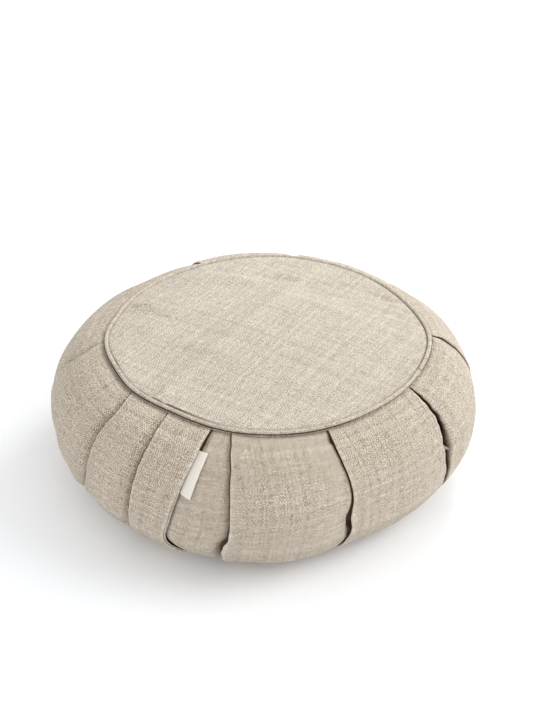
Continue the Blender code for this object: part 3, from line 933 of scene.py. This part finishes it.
def top_spot(angle, share):
    edge = seam_radius(angle) - CORD_RADIUS - PANEL_GAP
    flat = round_point(angle, edge * share, 0.0)
    from_edge = edge * (1.0 - share)
    inner = smooth(from_edge / TOP_LUMP_EDGE)
    pucker = soft_noise(seam_length(angle) / TOP_PUCKER_WIDTH, 0.0, 1.0) * exp(-from_edge / TOP_PUCKER_REACH)
    z = crown_z(share) + (top_relief(flat.x, flat.y) + TOP_PUCKER * pucker) * inner
    z += top_crease(flat.x, flat.y) * smooth(from_edge / EDGE_ROLL)
    lap = EDGE_LAP * (1.0 - seen_inside(angle))
    rolled = mix(smooth(from_edge / EDGE_ROLL), 1.0, lap)
    z += EDGE_PUFF * rolled * (1.0 - smooth(from_edge / EDGE_PUFF_REACH))
    across = flat.x * cos(TOP_GRAIN) + flat.y * sin(TOP_GRAIN)
    down = flat.y * cos(TOP_GRAIN) - flat.x * sin(TOP_GRAIN)
    # A line of painted shade on the top just inside the cord
    place = mix(DITCH_PLACE, FRONT_DITCH_PLACE, in_stretch(FRONT_STRETCH, angle))
    ditch = bell(max(0.0, from_edge - place) / DITCH_WIDTH)
    return Spot(Vector((flat.x, flat.y, z)), across, down, inner_shade(angle) * ditch)


def lowered(spot, thickness):
    return spot._replace(place=spot.place - Vector((0.0, 0.0, thickness)))


def top_cloth():
    """The round piece on top: it crowns over the filling and turns down at the cord."""
    angles = [360.0 * k / TOP_ANGLES for k in range(TOP_ANGLES)]
    shares = [EDGE_SHARES[0] * k / TOP_RINGS for k in range(1, TOP_RINGS)] + list(EDGE_SHARES)
    upper = [[top_spot(angle, share) for angle in angles] for share in shares]
    seen_rings = (upper[-1], upper[-len(EDGE_SHARES) - 1], upper[0])
    lower = [[lowered(spot, PANEL_CLOTH) for spot in ring] for ring in seen_rings]
    return mesh_of("round_linen_top", *closed_rows(upper + lower), "linen")


def bottom_spot(angle, share):
    edge = seam_radius(angle) - CORD_RADIUS - PANEL_GAP
    z = BASE_RISE * smooth((share - BASE_FLAT_SHARE) / (1.0 - BASE_FLAT_SHARE))
    flat = round_point(angle, edge * share, z)
    return Spot(flat, flat.x, flat.y)


def bottom_cloth():
    """The round piece underneath, flat where the cushion rests."""
    angles = [360.0 * k / BASE_ANGLES for k in range(BASE_ANGLES)]
    lower = [[bottom_spot(angle, share) for angle in angles] for share in BASE_SHARES]
    upper = [[lowered(spot, -PANEL_CLOTH) for spot in ring] for ring in reversed(lower)]
    spots, faces = closed_rows(lower + upper)
    return mesh_of("round_linen_base", spots, [tuple(reversed(face)) for face in faces], "linen")


# The piping

def cord_spot(angle, turn, z, joined):
    """A spot of a covered cord, a little uneven, with a step where its two ends cross, painted shade at that
    step and painted shade under its outer side.
    """
    along = seam_length(angle)
    sway_out = SWAY_OUT * soft_noise(along / SWAY_LENGTHS[0], z * 100, 1.0)
    sway_up = SWAY_UP * soft_noise(along / SWAY_LENGTHS[1], z * 100, 5.0)
    radius = CORD_RADIUS * (1.0 + SWELL_SHARE * soft_noise(along / SWELL_LENGTH, z * 100, 3.0))
    radius *= 1.0 + TWIST_SHARE * sin(along / TWIST_LENGTH * 2 * pi + radians(turn))
    past = radians(angle_from(CORD_JOIN, angle)) * JOIN_RING
    if joined and -JOIN_LENGTH < past < 0:
        radius += JOIN_STEP * (1.0 + past / JOIN_LENGTH)
    out = seam_radius(angle) + sway_out + radius * cos(radians(turn))
    under = smooth((CORD_DARK_TURNS[0] - turn) / (CORD_DARK_TURNS[0] - CORD_DARK_TURNS[1]))
    under *= mix(1.0, CORD_RIGHT_SHADE, right_side(angle)) * mix(1.0, CORD_LEFT_SHADE, far_left(angle))
    depth = JOIN_SHADE if joined and 0 <= past < JOIN_RIM else under
    place = round_point(angle, out, z + sway_up + radius * sin(radians(turn)))
    girth = radians(turn) * CORD_RADIUS
    return Spot(place, (along + girth) * SLANT, (along - girth) * SLANT, depth)


def covered_cord(name, z, joined):
    """Cloth cut on the slant round a cord, in a closed ring along a seam."""
    spots = []
    for k in range(CORD_SEGMENTS):
        angle = CORD_JOIN + 360.0 * k / CORD_SEGMENTS
        spots += [cord_spot(angle, 360.0 * i / CORD_SIDES - 90.0, z, joined) for i in range(CORD_SIDES)]
    faces = []
    for k in range(CORD_SEGMENTS):
        for i in range(CORD_SIDES):
            here, there = k * CORD_SIDES, (k + 1) % CORD_SEGMENTS * CORD_SIDES
            j = (i + 1) % CORD_SIDES
            faces.append((here + i, here + j, there + j, there + i))
    return mesh_of(name, spots, faces, "linen_piping")


# The tape

def tape_place(slope, distance, lift):
    """A place over the cloth below pleat D, back from the line of the tape's fold, raised from the cloth."""
    pleat = BY_NAME["D"]
    (top_angle, top_slope), (low_angle, low_slope) = TAPE_LINE
    fold_line = mix(top_angle, low_angle, (top_slope - slope) / (top_slope - low_slope))
    angle = fold_line - degrees((TAPE_REACH - distance) / side_radius(middle_angle(pleat), slope))
    last = fold_cuts(pleat, slope)[0][-1]
    span = panel_span(pleat, slope)
    along = (angle - span.start) / (span.end - span.start) * span.width
    height = last.height if along < 0 else panel_height(pleat, slope, along)
    return side_point(angle, slope, height + relief(angle, slope) + lift)


def tape_loop():
    """The folded tape's cross-section: (distance, height) of its two faces, round the fold."""
    middle = [(-TAPE_ROOT, 0.0), (0.0, 0.0)] + [(TAPE_REACH * share, rise) for share, rise in TAPE_BOW]
    bend = []
    for turn in (0, 45, 90, 135, 180):
        distance = TAPE_REACH - TAPE_FOLD * (1.0 - sin(radians(turn)))
        bend.append((distance, TAPE_FOLD * (1.0 - cos(radians(turn))) + TAPE_BEND_RISE))
    back = [(distance, height + 2 * TAPE_FOLD) for distance, height in reversed(middle)]
    return middle + bend + back


def folded_tape():
    """The plain tape caught by its two ends in the edge of the pleat, so that its fold stands out."""
    loop = tape_loop()
    top_slope, low_slope = TAPE_LINE[0][1], TAPE_LINE[1][1]
    rows = []
    for k in range(TAPE_STEPS + 1):
        row_slope = mix(top_slope, low_slope, k / TAPE_STEPS)
        down = TAPE_LENGTH * k / TAPE_STEPS
        outer, inner = [], []
        paths = 0.0
        for i, (distance, height) in enumerate(loop):
            before, after = loop[max(0, i - 1)], loop[min(len(loop) - 1, i + 1)]
            run = Vector((after[0] - before[0], after[1] - before[1])).normalized()
            lift = height + TAPE_STAND * smooth(max(0.0, distance) / TAPE_REACH) + TAPE_RISE
            paths += hypot(distance - before[0], height - before[1])
            slope = row_slope + TAPE_LEAN * (TAPE_REACH - distance) / MM
            half = run * TAPE_CLOTH / 2
            outer.append(Spot(tape_place(slope, distance + half.y, lift - half.x), paths, down))
            # The tape's inner face gets a little painted shade
            inner.append(Spot(tape_place(slope, distance - half.y, lift + half.x), paths, down, 0.3))
        rows.append(outer + list(reversed(inner)))
    return mesh_of("folded_cotton_tape", *closed_rows(rows), "cotton_tape")


# Materials

def add_node(tree, kind, **settings):
    made = tree.nodes.new(kind)
    for name, value in settings.items():
        setattr(made, name, value)
    return made


def put(tree, socket, value):
    """Joins a socket to another node's output, or sets it to a plain value."""
    if isinstance(value, bpy.types.NodeSocket):
        tree.links.new(value, socket)
    else:
        socket.default_value = value


def wire(tree, node, **values):
    """Joins or sets a node's sockets by their names, with _ for the spaces in them."""
    for label, value in values.items():
        put(tree, node.inputs[label.replace("_", " ")], value)
    return node


def work_out(tree, operation, *values):
    made = add_node(tree, "ShaderNodeMath", operation=operation)
    for socket, value in zip(made.inputs, values):
        put(tree, socket, value)
    return made.outputs[0]


def plus(tree, *values):
    return work_out(tree, "ADD", *values)


def minus(tree, *values):
    return work_out(tree, "SUBTRACT", *values)


def times(tree, *values):
    return work_out(tree, "MULTIPLY", *values)


def joined_vector(tree, x, y, z=0.0):
    made = add_node(tree, "ShaderNodeCombineXYZ")
    for socket, value in zip(made.inputs, (x, y, z)):
        put(tree, socket, value)
    return made.outputs[0]


def cloudy(tree, vector, scale, detail=1.0):
    made = add_node(tree, "ShaderNodeTexNoise", noise_dimensions="3D")
    return wire(tree, made, Vector=vector, Scale=scale, Detail=detail).outputs[0]


def blend_colours(tree, kind, share, first, second):
    made = add_node(tree, "ShaderNodeMix", data_type="RGBA", blend_type=kind)
    put(tree, made.inputs[0], share)
    put(tree, made.inputs[6], first)
    put(tree, made.inputs[7], second)
    return made.outputs[2]


def new_group(name, inputs, outputs):
    tree = bpy.data.node_groups.new(name, "ShaderNodeTree")
    for label, value in inputs:
        tree.interface.new_socket(label, in_out="INPUT", socket_type="NodeSocketFloat").default_value = value
    for label in outputs:
        tree.interface.new_socket(label, in_out="OUTPUT", socket_type="NodeSocketFloat")
    return tree, add_node(tree, "NodeGroupInput").outputs, add_node(tree, "NodeGroupOutput").inputs


def thread_tone(tree, index, along, slub_length):
    """One direction of threads: a tone for each thread, and slubs along it."""
    own = add_node(tree, "ShaderNodeTexWhiteNoise", noise_dimensions="1D")
    put(tree, own.inputs["W"], index)
    place = joined_vector(tree, times(tree, index, SLUB_STEP), work_out(tree, "DIVIDE", along, slub_length))
    slub = cloudy(tree, place, 1.0, 2.0)
    return plus(tree, times(tree, own.outputs[0], OWN_TONE), times(tree, slub, SLUB_TONE))


def plain_weave_group():
    """Threads over and under each other, each with its own tone and slubs."""
    inputs = (("Threads per metre", 1000.0), ("Wander", 0.5), ("Slub length", 6.0), ("Fleck", 0.5),
              ("Warp lighter", 0.3))
    tree, given, result = new_group("plain_weave", inputs, ("Tone", "Height"))
    place = add_node(tree, "ShaderNodeUVMap", uv_map="cloth").outputs[0]
    parts = add_node(tree, "ShaderNodeSeparateXYZ")
    put(tree, parts.inputs[0], place)
    drift = times(tree, minus(tree, cloudy(tree, place, DRIFT_SCALE, 2.0), 0.5), given["Wander"])
    drift = times(tree, drift, DRIFT_THREADS)
    counts = [plus(tree, times(tree, parts.outputs[k], given["Threads per metre"]), drift) for k in (0, 1)]
    indices = [work_out(tree, "FLOOR", count) for count in counts]
    within = [work_out(tree, "FRACT", count) for count in counts]
    ridges = [work_out(tree, "SINE", times(tree, value, pi)) for value in within]
    warp = thread_tone(tree, indices[0], counts[1], times(tree, given["Slub length"], WARP_SLUB))
    weft = thread_tone(tree, plus(tree, indices[1], WEFT_SHIFT), counts[0], given["Slub length"])
    over = work_out(tree, "FRACT", times(tree, plus(tree, indices[0], indices[1]), 0.5))
    over = work_out(tree, "GREATER_THAN", over, 0.25)
    under = minus(tree, 1.0, over)
    warp_share = plus(tree, times(tree, over, 1.0 - 2.0 * UNDER_SHARE), UNDER_SHARE)
    weft_share = minus(tree, 1.0, warp_share)
    tone = plus(tree, times(tree, warp, warp_share), times(tree, weft, weft_share))
    fleck = 0.0
    for *away, weight in FLECKS:
        crossing = add_node(tree, "ShaderNodeTexWhiteNoise", noise_dimensions="2D")
        steps = [plus(tree, index, step) for index, step in zip(indices, away)]
        put(tree, crossing.inputs["Vector"], joined_vector(tree, *steps))
        fleck = plus(tree, fleck, times(tree, crossing.outputs[0], weight))
    tone = plus(tree, tone, times(tree, fleck, given["Fleck"]))
    lighter = times(tree, minus(tree, over, 0.5), given["Warp lighter"])
    tone = plus(tree, tone, lighter)
    first = times(tree, ridges[0], over)
    second = times(tree, ridges[1], under)
    arch = times(tree, ridges[0], ridges[1])
    height = plus(tree, plus(tree, first, second), arch)
    put(tree, result["Tone"], tone)
    put(tree, result["Height"], times(tree, height, 0.5))
    return tree


def patches_and_painted_light_group():
    """Soft patches in the cloth's tone, the lighter edges of its folds, partly wear and partly painted
    highlight, and the painted shade inside them.
    """
    # Edge sets the wear and painted highlight on the folds' edges, Depth the painted shade inside them
    inputs = (("Patch size", 0.006), ("Edge", 0.2), ("Depth", 0.7))
    tree, given, result = new_group("patches_and_painted_light", inputs, ("Patches", "Wear_and_painted_highlight", "Painted_shade"))
    place = add_node(tree, "ShaderNodeUVMap", uv_map="cloth").outputs[0]
    patches = cloudy(tree, place, work_out(tree, "DIVIDE", 1.0, given["Patch size"]), 3.0)
    edge = add_node(tree, "ShaderNodeAttribute", attribute_name="fold_edge").outputs["Fac"]
    depth = add_node(tree, "ShaderNodeAttribute", attribute_name="fold_depth").outputs["Fac"]
    put(tree, result["Patches"], patches)
    put(tree, result["Wear_and_painted_highlight"], times(tree, edge, given["Edge"]))
    put(tree, result["Painted_shade"], times(tree, depth, given["Depth"]))
    return tree


def use_group(tree, group, **values):
    made = add_node(tree, "ShaderNodeGroup", node_tree=group)
    return wire(tree, made, **values).outputs


def cloth_material(name, cloth, weave, tone_and_painted_light):
    """Woven cloth: threads between a dark and a light tone, lighter at the folds' edges as wear and painted
    highlight, with painted shade inside the folds.
    """
    made = bpy.data.materials.new(name)
    made.use_nodes = True
    tree = made.node_tree
    shader = tree.nodes["Principled BSDF"]
    threads = use_group(tree, weave, Threads_per_metre=cloth.count, Wander=WANDER, Slub_length=SLUB_LENGTH,
                        Fleck=FLECK, Warp_lighter=WARP_LIGHTER)
    patches_and_painted_light_out = use_group(tree, tone_and_painted_light, Patch_size=PATCH_SIZE, Edge=cloth.edge, Depth=cloth.depth)
    tone = plus(tree, times(tree, minus(tree, threads["Tone"], TONE_MIDDLE), cloth.contrast), 0.5)
    patches = times(tree, minus(tree, patches_and_painted_light_out["Patches"], 0.5), PATCH_TONE)
    # Painted shadow between the threads, taken from the weave's height
    thread_shadow = times(tree, minus(tree, threads["Height"], THREAD_SHADOW_MIDDLE), THREAD_SHADOW_TONE)
    # The folds' edges are made lighter, partly as wear and partly as painted highlight
    tone = plus(tree, plus(tree, tone, patches), plus(tree, thread_shadow, patches_and_painted_light_out["Wear_and_painted_highlight"]))
    limited = add_node(tree, "ShaderNodeClamp")
    put(tree, limited.inputs[0], tone)
    colour = blend_colours(tree, "MIX", limited.outputs[0], (*cloth.dark, 1.0), (*cloth.light, 1.0))
    # Painted shade: the colour is tinted dark where the fold_depth mask is high
    colour = blend_colours(tree, "MULTIPLY", patches_and_painted_light_out["Painted_shade"], colour, (*PAINTED_SHADE_TINT, 1.0))
    smoother = times(tree, limited.outputs[0], LIGHT_THREADS_SMOOTHER)
    thicker = times(tree, threads["Tone"], THICK_THREADS_HIGHER)
    raised = wire(tree, add_node(tree, "ShaderNodeBump"), Strength=cloth.bump, Distance=RELIEF_DEPTH,
                  Height=plus(tree, threads["Height"], thicker))
    wire(tree, shader, Base_Color=colour, Roughness=minus(tree, ROUGHEST, smoother), Normal=raised.outputs[0],
         Specular_IOR_Level=SPECULAR, Sheen_Weight=cloth.sheen, Sheen_Roughness=SHEEN_ROUGHNESS)
    return made


def dress(piece, material):
    piece.data.materials.clear()
    piece.data.materials.append(material)


# The stage

def pale_floor():
    data = bpy.data.meshes.new("pale_floor")
    corners = [(x * FLOOR_SIZE, y * FLOOR_SIZE, 0) for x, y in ((-1, -1), (1, -1), (1, 1), (-1, 1))]
    data.from_pydata(corners, [], [(0, 1, 2, 3)])
    made = bpy.data.materials.new("pale_floor")
    made.use_nodes = True
    tree = made.node_tree
    wire(tree, tree.nodes["Principled BSDF"], Base_Color=(*FLOOR_COLOUR, 1.0), Roughness=FLOOR_ROUGHNESS,
         Specular_IOR_Level=FLOOR_SPECULAR, Emission_Color=WHITE, Emission_Strength=FLOOR_GLOW)
    data.materials.append(made)
    new_object("pale_floor", data)


def area_light(name, place, target, size, power):
    data = bpy.data.lights.new(name, "AREA")
    data.shape = "DISK"
    data.size = size
    data.energy = power
    lamp = new_object(name, data)
    lamp.location = place
    lamp.rotation_euler = (Vector(target) - Vector(place)).to_track_quat("-Z", "Y").to_euler()


def studio_light():
    world = bpy.data.worlds.new("studio")
    bpy.context.scene.world = world
    world.use_nodes = True
    wire(world.node_tree, world.node_tree.nodes["Background"], Color=WHITE, Strength=BACKDROP_LIGHT)
    for name, light in LIGHTS.items():
        area_light(name, *light)


def photo_camera():
    tilt = radians(CAMERA_TILT)
    right, up = Vector((1, 0, 0)), Vector((0, sin(tilt), cos(tilt)))
    back = right.cross(up)
    metres = CAMERA_DISTANCE / FOCAL_PIXELS
    aside = (CUSHION_PIXEL[0] - PICTURE_WIDTH / 2) * metres
    above = (PICTURE_HEIGHT / 2 - CUSHION_PIXEL[1]) * metres
    data = bpy.data.cameras.new("photo_camera")
    data.sensor_width = SENSOR_WIDTH
    data.lens = FOCAL_PIXELS / PICTURE_HEIGHT * data.sensor_width
    camera = new_object("photo_camera", data)
    camera.matrix_world = Matrix((right, up, back)).transposed().to_4x4()
    camera.location = CENTRE + CAMERA_AIM + back * CAMERA_DISTANCE - right * aside - up * above
    bpy.context.scene.camera = camera


def build():
    photo_camera()
    studio_light()
    pale_floor()
    bpy.context.scene.view_settings.view_transform = "Standard"
    # The weave, and the group of tone patches, wear and painted highlight on the folds' edges, and painted
    # shade inside them
    weave, tone_and_painted_light = plain_weave_group(), patches_and_painted_light_group()
    cloths = {name: cloth_material(name, cloth, weave, tone_and_painted_light) for name, cloth in CLOTHS.items()}

    cushion = pleated_cushion()
    dress(cushion, cloths["natural_linen"])
    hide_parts("filled_pleated_band")

    top = top_cloth()
    dress(top, cloths["top_linen"])
    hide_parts("top_panel")
    base = bottom_cloth()
    dress(base, cloths["top_linen"])
    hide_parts("bottom_panel")

    cords = (("upper_piping", CORD_TOP_Z, "top_piping"), ("lower_piping", CORD_BOTTOM_Z, "bottom_piping"))
    for name, z, node in cords:
        cord = covered_cord(name, z, node == "top_piping")
        dress(cord, cloths["cord_linen"])
        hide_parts(node)

    tape = folded_tape()
    dress(tape, cloths["tape_cotton"])
    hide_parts("side_tab")


build()
